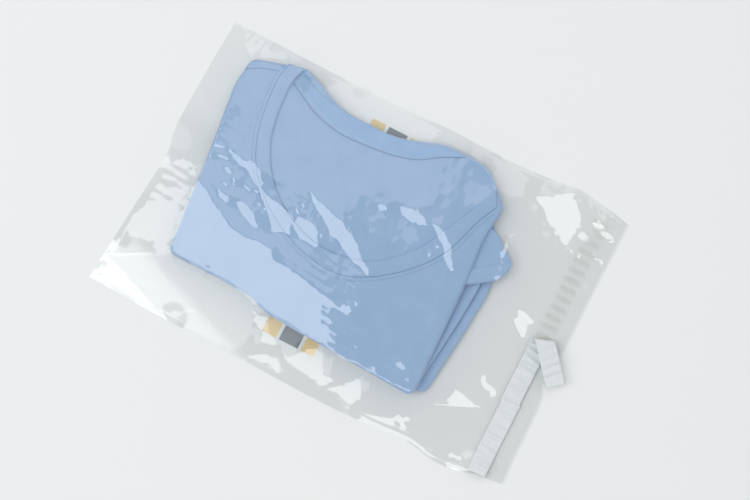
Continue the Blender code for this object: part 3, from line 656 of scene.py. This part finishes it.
def filmPlan(x, y):
    # Where a point of the flat film lies: its sides and ends wander by a few millimetres. The
    # wander dies out inwards with the cube of the distance, and evenly from the mouth.
    along = (x - bag["closed"]) / (bag["lip"] - bag["closed"])
    across = (y - bag["low"]) / (bag["high"] - bag["low"])
    endShare = np.clip((along - 1 + mouthShare) / mouthShare, 0, 1)
    planX = x + (1 - along) ** 3 * wave(closedWave, across) + endShare * wave(lipWave, across)
    planY = y + across ** 3 * wave(highWave, along) - (1 - across) ** 3 * wave(lowWave, along)
    return planX, planY


# places where the film's edge stands off the table: x, y, reach, height
edgeLifts = [(175, -130, 32, 3.4), (143, 132, 16, 1.0), (133, -132, 16, 1.1), (-192, 2, 22, 1.2),
             (-120, -130, 14, 0.8), (60, 127, 16, 0.7), (-66, 127, 14, 0.7), (30, -131, 14, 0.6),
             (-195, -90, 12, 0.7), (193, 60, 16, 0.8), (-150, 128, 12, 0.7)]


def edgeLift(x, y):
    # The highest of some bells, each (1 - r squared) squared at a share r of its reach.
    total = np.zeros(x.shape)
    for cx, cy, reach, height in edgeLifts:
        r = np.hypot(x - cx, y - cy) / reach
        total = np.maximum(total, height * np.where(r < 1, (1 - np.clip(r, 0, 1) ** 2) ** 2, 0))
    return total


# the cloth under the film: outline, underside, top and the top's surface
clothLayers = [(mainEdge, shirt["mainLow"], shirt["mainTop"], frontSurface),
               (innerLoop(90), shirt["innerLow"], shirt["innerLow"] + shirt["layer"], None),
               (flapLoop(90), shirt["flapLow"], shirt["flapLow"] + shirt["layer"], None),
               (sleeveLoop(70), shirt["sleeveLow"], shirt["sleeveLow"] + shirt["layer"], sleeveTop)]
bandLoop = np.vstack([frontOuter[::6], frontInner[::-6]])


def clothTop(x, y):
    # Highest cloth over each plan point, with half a circle for each rounded side, or zero
    # where there is no cloth.
    height = np.zeros(x.shape)
    for loop, low, high, top in clothLayers:
        depth = depthInside(x, y, loop) + bag["sideRoll"]
        half = (high - low) / 2
        fall = half - np.clip(depth, 0, half)
        crest = low + half + np.sqrt(np.clip(half ** 2 - fall ** 2, 0, None))
        crest += bag["clothSwell"] if top is None else top(x, y) - high
        height = np.maximum(height, np.where(depth > 0, crest, 0))
    bandTop = frontBase(x, y) + band["thick"] + band["roll"]
    return np.maximum(height, np.where(depthInside(x, y, bandLoop) > -0.5, bandTop, 0))


# Facets of the film: corners in plan as x, y, x, y, the direction that each faces (degrees from
# +X) and its lean from level. Broad ones lie round the shirt, smaller ones are creases over it.
keyFacing = 249.6
facets = [
    ([-152, -12, -141, -18, -117, -31, -105, -36, -90, -38, -68, -36, -67, -46, -50, -44, -29,
      -48, 1, -53, 14, -48, 17, -54, 2, -57, -7, -63, 0, -83, -10, -86, -34, -82, -62, -74, -71,
      -65, -93, -67, -117, -73, -140, -77, -148, -67, -150, -41], keyFacing, 6),
    ([-193, -104, -167, -91, -142, -81, -109, -80, -64, -83, -60, -88, -55, -98, -52, -130, -77,
      -128, -103, -128, -122, -128, -149, -123, -171, -115, -184, -110], 250, 15),
    ([-179, -4, -164, 0, -156, -6, -149, -72, -161, -75, -176, -78, -188, -64, -185, -57, -181,
      -13], 203, 16),
    ([-196, -92, -178, -80, -161, -76, -149, -73, -143, -80, -167, -90, -192, -103], 175, 14),
    ([-194, -105, -184, -123, -150, -131, -171, -112], 190, 7),
    ([-173, -115, -170, -112, -145, -121, -138, -130, -147, -128], 285, 8),
    ([-197, -128, -192, -112, -178, -126, -187, -129], 290, 7),
    ([-117, -127, -116, -120, -100, -106, -104, -113, -112, -123], 180, 20),
    ([-179, 119, -172, 122, -140, 121, -134, 118, -163, 100, -170, 108], 97, 24),
    ([-47, -87, -36, -100, -29, -108, -39, -111], 265, 6),
    ([-50, -130, -37, -119, -30, -119, -29, -123, -40, -126], 265, 6),
    ([-32, -120, -22, -115, -16, -120, -15, -128, -24, -124], 265, 6),
    ([-17, -114, 6, -90, 13, -97, 14, -106, 25, -114, 23, -119, 10, -117], 261, 6),
    ([28, -119, 37, -113, 49, -95, 52, -106, 53, -121, 51, -129, 44, -121, 37, -118], 254, 6),
    ([91, -111, 94, -113, 100, -117, 98, -118, 93, -115], 244, 7),
    ([112, 108, 120, 114, 139, 128, 142, 123, 149, 116, 156, 111, 155, 95, 151, 82, 141, 85, 132,
      91, 122, 101], 250, 14),
    ([3, -60, 20, -50, 60, -44, 88, -50, 91, -90, 40, -90, -4, -88], 345, 3),
    ([156, 111, 162, 115, 168, 116, 174, 115, 172, 113, 164, 113, 158, 110], 248, 10),
    ([165, 109, 170, 109, 179, 113, 185, 111, 188, 106, 183, 103, 176, 105, 168, 106], 246, 10),
    ([158, 94, 163, 103, 169, 100, 169, 92, 162, 91], 247, 10),
    ([152, 83, 160, 83, 161, 81, 154, 80], 247, 10),
    ([164, 81, 166, 83, 169, 81, 169, 77, 166, 79], 246, 10),
    ([177, 85, 184, 87, 190, 86, 192, 83, 189, 80, 186, 83, 179, 83], 245, 10),
    ([143, 126, 146, 130, 148, 128, 145, 124], 250, 10),
    ([141, 5, 151, 14, 159, 9, 157, -3, 153, -5], 237, 17),
    ([154, 14, 159, 12, 160, -2, 160, -17, 158, -29, 156, -26, 155, -9, 156, 3], 243, 10),
    ([140, -53, 144, -52, 152, -54, 157, -57, 155, -60, 146, -57], 240, 8),
    ([132, -55, 133, -54, 137, -58, 136, -59], 242, 8),
    ([143, -121, 152, -118, 163, -117, 164, -120, 153, -122, 143, -124], 234, 8),
    ([-127, 15, -115, 14, -106, 7, -100, 3, -104, 13, -112, 20, -118, 24], keyFacing, 8),
    ([-138, -12, -123, -14, -123, -19], keyFacing, 8),
    ([-110, -16, -108, -10, -97, -16, -87, -25, -94, -26, -105, -22], keyFacing, 8),
    ([-100, 3, -87, -8, -77, -22, -63, -19, -65, -4, -75, 1, -86, -1], keyFacing, 8),
    ([-62, -10, -57, -2, -45, -1, -38, -6, -38, -18, -52, -18], keyFacing, 8),
    ([-60, 23, -51, 17, -39, 14, -23, 11, -7, 1, 4, -10, 12, -13, 13, -19, 2, -16, -13, -9, -32,
      1, -47, 8], keyFacing, 9),
    ([-6, 39, 3, 42, 4, 38, -4, 36], keyFacing, 10),
    ([12, 46, 25, 49, 35, 47, 37, 42, 26, 40, 15, 39], keyFacing, 10),
    ([43, 47, 52, 46, 67, 34, 76, 20, 75, 14, 67, 22, 58, 34, 49, 41], keyFacing, 10),
    ([105, 50, 107, 64, 110, 56, 111, 43], keyFacing, 12),
]


# short creases round the neckline: middle, spread and how many
sliverPlaces = [(-118, 5, 16, 7), (-92, -2, 14, 8), (-62, 0, 15, 8), (-36, 4, 14, 6),
                (-8, 30, 18, 5), (28, 38, 14, 6), (62, 30, 13, 6), (78, -10, 12, 3),
                (20, -45, 16, 4), (-140, 20, 8, 3)]
sliver = {"seed": 5, "length": (2.5, 9), "width": (0.7, 1.9), "lean": (8, 11), "turn": -48,
          "turnSpread": 28, "spreadX": 0.7, "spreadY": 0.5}


def makeSlivers():
    # Thin four-cornered facets, scattered by number.
    rng = np.random.default_rng(sliver["seed"])
    found = []
    for centreX, centreY, spread, count in sliverPlaces:
        for _ in range(count):
            x = centreX + spread * rng.normal() * sliver["spreadX"]
            y = centreY + spread * rng.normal() * sliver["spreadY"]
            length, width = rng.uniform(*sliver["length"]), rng.uniform(*sliver["width"])
            turn = np.radians(rng.normal(sliver["turn"], sliver["turnSpread"]))
            ahead = np.array([np.cos(turn), np.sin(turn)]) * length / 2
            side = np.array([-np.sin(turn), np.cos(turn)]) * width / 2
            middle = np.array([x, y])
            corners = np.array([middle + ahead, middle + side, middle - ahead, middle - side])
            found.append((corners, keyFacing, rng.uniform(*sliver["lean"])))
    return found


facets += makeSlivers()
# how much more a facet keeps its slope than the film between facets, and how far its edges
# wander: slowly, and in a ragged way
hold = {"facet": 30.0, "wander": 1.3, "ragged": 0.75}

# where the film lies down on the back panel: corners in plan, and the most that it stands off
laidDown = [([(56, -131), (58, -119), (96, -108), (110, -84), (156, -66), (156, -131)], 0.6),
            ([(156, -135), (156, -8), (163, -2), (163, 76), (200, 76), (200, -135)], 0.9)]
laidRamp, laidRise = 6.0, 8.0   # inside its border the film comes down over this width and rise
# the stretch by the mouth where the panels lie together: from and to past the seal, and up to y
pressed = {"from": 5, "to": 30, "upTo": 74}


def wantedSlope(x, y):
    # Slope that each facet asks of the film; the facet's edges wander, as real creases do.
    wx = x + hold["wander"] * ripple(x, y, 21, 8, 7, 22)
    wy = y + hold["wander"] * ripple(x, y, 22, 8, 7, 22)
    ragged = hold["ragged"] * ripple(x, y, 23, 12, 2.6, 7)
    slopeX, slopeY, weight = np.zeros(x.shape), np.zeros(x.shape), np.ones(x.shape)
    for corners, facing, lean in facets:
        inside = depthInside(wx, wy, np.reshape(corners, (-1, 2)).astype(float)) > ragged
        drop, turn = np.tan(np.radians(lean)), np.radians(facing)
        slopeX[inside], slopeY[inside] = -drop * np.cos(turn), -drop * np.sin(turn)
        weight[inside] = hold["facet"]
    return slopeX, slopeY, weight


overStep = 1.6   # each move goes this much further than the mean, to settle sooner


def settle(x, y, least, most, z, rounds):
    # Film drawn taut: each free point moves to the mean of what its four neighbours ask of it,
    # which is their own height plus the wanted slope between them. It stays above the cloth
    # and below its ceiling. Alternate points move in turn.
    hx, hy = np.diff(x[:, 0]).mean(), np.diff(y[0]).mean()
    slopeX, slopeY, weight = wantedSlope(x, y)
    holdX = (weight[1:] + weight[:-1]) / 2 / hx ** 2
    holdY = (weight[:, 1:] + weight[:, :-1]) / 2 / hy ** 2
    stepX = (slopeX[1:] + slopeX[:-1]) / 2 * hx
    stepY = (slopeY[:, 1:] + slopeY[:, :-1]) / 2 * hy
    before, after = holdX[:-1, 1:-1], holdX[1:, 1:-1]
    under, over = holdY[1:-1, :-1], holdY[1:-1, 1:]
    total = before + after + under + over
    pull = (before * stepX[:-1, 1:-1] - after * stepX[1:, 1:-1]
            + under * stepY[1:-1, :-1] - over * stepY[1:-1, 1:])
    i, j = np.indices(x.shape)
    turns = [((i + j) % 2 == k)[1:-1, 1:-1] for k in (0, 1)]
    low, high = least[1:-1, 1:-1], most[1:-1, 1:-1]
    for _ in range(rounds):
        for turn in turns:
            mean = (before * z[:-2, 1:-1] + after * z[2:, 1:-1]
                    + under * z[1:-1, :-2] + over * z[1:-1, 2:] + pull) / total
            moved = z[1:-1, 1:-1] + overStep * (mean - z[1:-1, 1:-1])
            moved = np.maximum(np.minimum(moved, high), low)
            z[1:-1, 1:-1] = np.where(turn, moved, z[1:-1, 1:-1])
    return z


def widened(coarse, shape):
    # A coarse grid of heights read at the places of a finer one.
    rows = np.linspace(0, coarse.shape[0] - 1, shape[0])
    columns = np.linspace(0, coarse.shape[1] - 1, shape[1])
    half = np.array([np.interp(rows, np.arange(coarse.shape[0]), c) for c in coarse.T]).T
    return np.array([np.interp(columns, np.arange(coarse.shape[1]), r) for r in half])


def frontGap(y):
    # How far the panels stand apart by the mouth: half a sine wave from weld to weld.
    share = np.clip((y - bag["low"]) / (bag["high"] - bag["low"]), 0, 1)
    return bag["mouthGap"] * np.sin(np.pi * share)


drapeRounds = ((8, 500), (4, 400), (2, 300), (1, 260))   # how coarse the grid, and rounds on it


def frontPanelHeight(rows, columns):
    # The drape is found on coarse grids first, so that it settles all the way across.
    z = None
    for step, rounds in drapeRounds:
        shape = ((rows - 1) // step + 1, (columns - 1) // step + 1)
        flatX, flatY = np.meshgrid(np.linspace(bag["closed"], bag["mouth"], shape[0]),
                                   np.linspace(bag["low"], bag["high"], shape[1]), indexing="ij")
        x, y = filmPlan(flatX, flatY)
        least = clothTop(x, y)
        least = np.where(least > 0, least + bag["above"], 0.0)
        most = np.full(shape, bag["freeHeight"])
        for corners, ceiling in laidDown:
            depth = depthInside(x, y, np.array(corners, float))
            ramp = laidRise * np.clip(1 - depth / laidRamp, 0, 1)
            most = np.where(depth > 0, ceiling + ramp, most)
        pastSeal = flatX - bag["seal"]
        together = (pastSeal > pressed["from"]) & (pastSeal < pressed["to"])
        most = np.where(together & (flatY < pressed["upTo"]), frontGap(flatY), most)
        z = np.zeros(shape) if z is None else widened(z, shape)
        z = np.maximum(np.minimum(z, most), least)
        z[0] = z[:, 0] = z[:, -1] = 0
        z[-1] = frontGap(flatY[-1])
        z = settle(x, y, least, most, z, rounds)
    return flatX, flatY, x, y, z


# the weld's bead, and the waves beside it: height, length and how fast they die out
weld = {"height": 0.28, "half": 0.9, "pucker": 0.34, "length": 8.5, "reach": 5.0, "start": 2.0}


def weldAndPucker(flatX, flatY):
    # The weld is a low bell near the edge; beside it the film is drawn into short sine waves
    # that die out inwards, in patches.
    fromEnd = flatX - bag["closed"]
    fromSide = np.minimum(flatY - bag["low"], bag["high"] - flatY)
    edge = np.minimum(fromEnd, fromSide)
    run = np.where(fromEnd < fromSide, flatY, flatX)
    bead = weld["height"] * np.exp(-((edge - bag["weld"]) / weld["half"]) ** 2)
    drawn = np.clip(edge - bag["weld"], 0, None)
    wander = 2.5 * np.sin(run / 23) + 1.4 * np.sin(run / 9.1)
    patch = 0.5 + 0.5 * np.sin(run / 31 + 1.7)
    fade = weld["pucker"] * np.exp(-drawn / weld["reach"]) * smoothStep(drawn / weld["start"])
    return bead + fade * (1 + np.sin(2 * np.pi * (run + wander) / weld["length"])) * patch


def makePouch():
    rows = int(round((bag["mouth"] - bag["closed"]) / bag["cell"] / 8)) * 8 + 1
    columns = int(round((bag["high"] - bag["low"]) / bag["cell"] / 8)) * 8 + 1
    flatX, flatY, x, y, drape = frontPanelHeight(rows, columns)
    fine = bag["crinkle"] * ripple(x, y, 31, 12, 6, 26) * smoothStep(drape / 3)
    height = drape + fine + weldAndPucker(flatX, flatY)
    top = edgeLift(x, y) + bag["wall"] + height
    front = makeSheet("pouchFront", np.dstack([x, y, top]), polythene, "clear_film")
    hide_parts("film_pouch")
    ends, sides = (bag["closed"], bag["lip"]), (bag["low"], bag["high"])
    x, y = filmPlan(*np.meshgrid(*[np.linspace(a, b, int((b - a) / bag["backCell"]))
                                   for a, b in (ends, sides)], indexing="ij"))
    back = np.dstack([x, y, edgeLift(x, y)])[:, ::-1]
    back = makeSheet("pouchBack", back, polythene, "clear_film")
    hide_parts("film_pouch")
    return top


# plain bars printed across the back panel: left and right edge, and the ink
printed = {"low": -101.0, "high": 106.0, "above": 0.06,
           "bars": [(-45, -32, goldInk), (-29, -11, greyInk), (-8, 4, goldInk)]}


def makePrint():
    for number, (left, right, ink) in enumerate(printed["bars"]):
        x, y = np.meshgrid(np.linspace(left, right, 8),
                           np.linspace(printed["low"], printed["high"], 90), indexing="ij")
        bar = np.dstack([x, y, edgeLift(x, y) + printed["above"]])
        makeSheet("printedBar%d" % number, bar, ink, "clear_film")


filmTop = makePouch()   # heights of the front panel's grid, for what lies on it
makePrint()
print("film pouch made")


strip = {"inset": 9.0, "width": 15.5, "length": 246, "thick": 0.2, "endGap": 5.0,
         "linerThick": 0.2, "overhang": 0.6, "peel": 122.0, "tail": 50.0, "roll": 4.2,
         "slant": 20.0, "droop": 3.5,
         "kink": -58.0, "kinkShift": -0.9, "kinkWidth": 1.5, "nub": 0.09, "nubWidth": 1.7,
         "above": 0.45, "creaseLean": 0.16, "tailCrease": -0.6}
stripMiddle = bag["seal"] + strip["inset"] + strip["width"] / 2
stripStart = bag["low"] + strip["endGap"]
peelPlace = stripStart + strip["peel"]
# creases across the liner: place along it, half width and height
linerCreases = [(-103, 1.6, 0.5), (-92, 2.4, 0.45), (-81, 1.5, 0.45), (-72, 2.6, 0.55),
                (-58, 1.3, 1.1), (-48, 2.6, 0.75), (-39, 1.5, 0.7), (-29, 2.6, 1.15),
                (-18, 1.8, 1.0), (-11, 1.6, 1.2), (-4, 1.8, 1.3), (16, 2.2, 1.0), (24, 1.8, 0.9),
                (31, 1.8, 1.1), (38, 1.5, 0.9)]


def stripPlan(width, length, columns, rows):
    return np.meshgrid(np.linspace(stripMiddle - width / 2, stripMiddle + width / 2, columns),
                       np.linspace(stripStart, stripStart + length, rows))


def frontTop(x, y):
    # Height of the front panel over plan points, read off its grid between the nearest lines.
    planX, planY = filmPlan(x, y)
    alongShare = (2 * x - planX - bag["closed"]) / (bag["mouth"] - bag["closed"])
    acrossShare = (2 * y - planY - bag["low"]) / (bag["high"] - bag["low"])
    i = np.clip(alongShare, 0, 1) * (filmTop.shape[0] - 1.001)
    j = np.clip(acrossShare, 0, 1) * (filmTop.shape[1] - 1.001)
    a, b = i.astype(int), j.astype(int)
    s, t = i - a, j - b
    return ((filmTop[a, b] * (1 - s) + filmTop[a + 1, b] * s) * (1 - t)
            + (filmTop[a, b + 1] * (1 - s) + filmTop[a + 1, b + 1] * s) * t)


ridges = {"pitch": 9.0, "skew": 0.12, "skewFrom": 170, "height": 0.12, "edgeHeight": 0.45,
          "above": 0.3, "ramp": 8}


def makeAdhesive():
    # The exposed glue line: a thin ribbon with ridges across it where the liner pulled it. Each
    # is a cubed sine wave along the line, and higher at the ribbon's two sides.
    x, y = stripPlan(strip["width"], strip["length"], 20, 420)
    phase = 2 * np.pi * (y + ridges["skew"] * (x - ridges["skewFrom"])) / ridges["pitch"]
    side = np.abs(x - x.mean()) / (strip["width"] / 2)
    swell = (ridges["height"] + ridges["edgeHeight"] * side ** 6) * np.sin(phase) ** 3
    swell *= smoothStep((y - peelPlace) / ridges["ramp"] + 0.5)
    height = strip["thick"] + ridges["above"] + swell
    ribbon = np.dstack([x, y, frontTop(x, y) + height])[:, ::-1]
    piece = makeSheet("adhesiveLine", ribbon, tack, "adhesive")
    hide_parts("adhesive_strip")


def linerSurface(x, y):
    # Up to the peel the liner lies on the adhesive. Past it, it wraps half a turn round a
    # slanted roll, keeping its length, and lies back over itself with a drooping end.
    # Creases are bells along it, and the kink is a smooth step sideways.
    base = frontTop(x, y) + strip["thick"] + strip["above"]
    slant = np.radians(strip["slant"])
    normal = np.array([-np.sin(slant), np.cos(slant)])
    aside, fromKink = x - stripMiddle, y - strip["kink"]
    past = aside * normal[0] + (y - peelPlace) * normal[1]
    roll = strip["roll"]
    wrap = np.pi * roll
    turn = np.clip(past, 0, wrap) / roll
    tail = np.clip(past - wrap, 0, None)
    sag = strip["droop"] * (tail / (strip["tail"] - wrap)) ** 2
    shift = np.where(past > 0, roll * np.sin(turn) - tail - past, 0)
    rise = np.where(past > 0, roll * (1 - np.cos(turn)) - sag, 0)
    waves = 0.10 * np.sin(2 * np.pi * y / 4.1) + 0.07 * np.sin(2 * np.pi * y / 2.9 + 1)
    for place, width, height in linerCreases:
        fromCrease = y + strip["creaseLean"] * aside - place
        waves = waves + height * np.exp(-(fromCrease / width) ** 2)
    lift = np.where(past > 0, strip["tailCrease"], 1) * waves * smoothStep((y - stripStart) / 6)
    kink = strip["kinkShift"] * smoothStep(fromKink / strip["kinkWidth"] + 0.5)
    nub = strip["nub"] * aside * np.exp(-(fromKink / strip["nubWidth"]) ** 2)
    return np.dstack([x + kink + nub + shift * normal[0], y + shift * normal[1],
                      base + rise + lift])


def gridNormals(grid):
    normal = np.cross(np.gradient(grid, axis=1), np.gradient(grid, axis=0))
    return normal / np.linalg.norm(normal, axis=2)[:, :, None]


def makeLiner():
    x, y = stripPlan(strip["width"] + 2 * strip["overhang"], strip["peel"] + strip["tail"], 16, 420)
    lower = linerSurface(x, y)
    upper = lower + strip["linerThick"] * gridNormals(lower)
    piece = makePiece("releaseLiner", shellPoints(upper[:, ::-1], lower[:, ::-1]),
                      [shellFaces(*x.shape)], linerFilm, "liner_film")
    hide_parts("release_liner")


makeAdhesive()
makeLiner()
print("strip made")


# the panel: left, right, near and far edge and height, in metres
studio = {"floor": "#EEF0F1", "floorReach": 6.0, "floorDrop": 0.0002, "zenith": 0.36,
          "horizon": 0.68, "lampDistance": 4.0,
          "panel": (-2.0, -0.06, 0.51, 2.5, 4.0), "panelStrength": 0.78}
# softboxes: direction from +X and lean from the vertical, width and height as seen from the
# bag, all in degrees, and brightness
softboxes = [("keySoftbox", 249.6, 13.5, 60, 17.6, 2.6), ("lowKeySoftbox", 235, 36, 32, 28, 1.0),
             ("sideSoftbox", 202, 48, 26, 26, 2.0), ("rearStrip", 84, 57, 52, 34, 0.85)]


def addLamp(name, width, height, strength, matrix):
    # A flat lamp, whose surface has the given brightness.
    data = bpy.data.lights.new(name, "AREA")
    data.shape = "RECTANGLE"
    data.size, data.size_y = width, height
    data.energy = strength * np.pi * width * height
    lamp = bpy.data.objects.new(name, data)
    lamp.matrix_world = matrix
    lamp.visible_camera = False
    bpy.context.collection.objects.link(lamp)


def addSoftbox(name, facing, lean, width, height, strength):
    # A lamp that faces the bag.
    turn, lean = np.radians(facing), np.radians(lean)
    towards = np.array([np.cos(turn) * np.sin(lean), np.sin(turn) * np.sin(lean), np.cos(lean)])
    side = np.cross([0, 0, 1.0], towards)
    side /= np.linalg.norm(side)
    away = studio["lampDistance"]
    width, height = [2 * away * np.tan(np.radians(seen) / 2) for seen in (width, height)]
    addLamp(name, width, height, strength,
            frameMatrix(side, np.cross(towards, side), towards, towards * away))


def addPanel():
    # A pale ceiling panel, level over the bag: it lights up the film above the neckline.
    left, right, near, far, height = studio["panel"]
    middle = ((left + right) / 2, (near + far) / 2, height)
    addLamp("ceilingPanel", right - left, far - near, studio["panelStrength"],
            Matrix.Translation(middle))


def makeStudio():
    for box in softboxes:
        addSoftbox(*box)
    addPanel()
    floorMaterial, tree, _ = emptyMaterial("matPaper")   # seamless matt paper: even, no sheen
    shader = addNode(tree, "BsdfDiffuse", {"Color": linear(studio["floor"])})
    addNode(tree, "OutputMaterial", links={"Surface": (shader, 0)})
    mesh = bpy.data.meshes.new("floor")
    far, low = studio["floorReach"], -studio["floorDrop"]
    mesh.from_pydata([(-far, -far, low), (far, -far, low), (far, far, low), (-far, far, low)], [],
                     [(0, 1, 2, 3)])
    mesh.materials.append(floorMaterial)
    floor = bpy.data.objects.new("floor", mesh)
    bpy.context.collection.objects.link(floor)
    world = bpy.data.worlds.new("studio")
    bpy.context.scene.world = world
    world.use_nodes = True
    tree = world.node_tree
    tree.nodes.clear()
    # The room is dim overhead and brighter towards its walls.
    place = addNode(tree, "TexCoord")
    parts = addNode(tree, "SeparateXYZ", links={0: (place, "Generated")})
    rise = addNode(tree, "MapRange", {"To Min": studio["horizon"], "To Max": studio["zenith"]},
                   {"Value": (parts, "Z")})
    room = addNode(tree, "Background", {"Color": (1, 1, 1, 1)}, {"Strength": (rise, 0)})
    addNode(tree, "OutputWorld", links={"Surface": (room, 0)})


makeStudio()
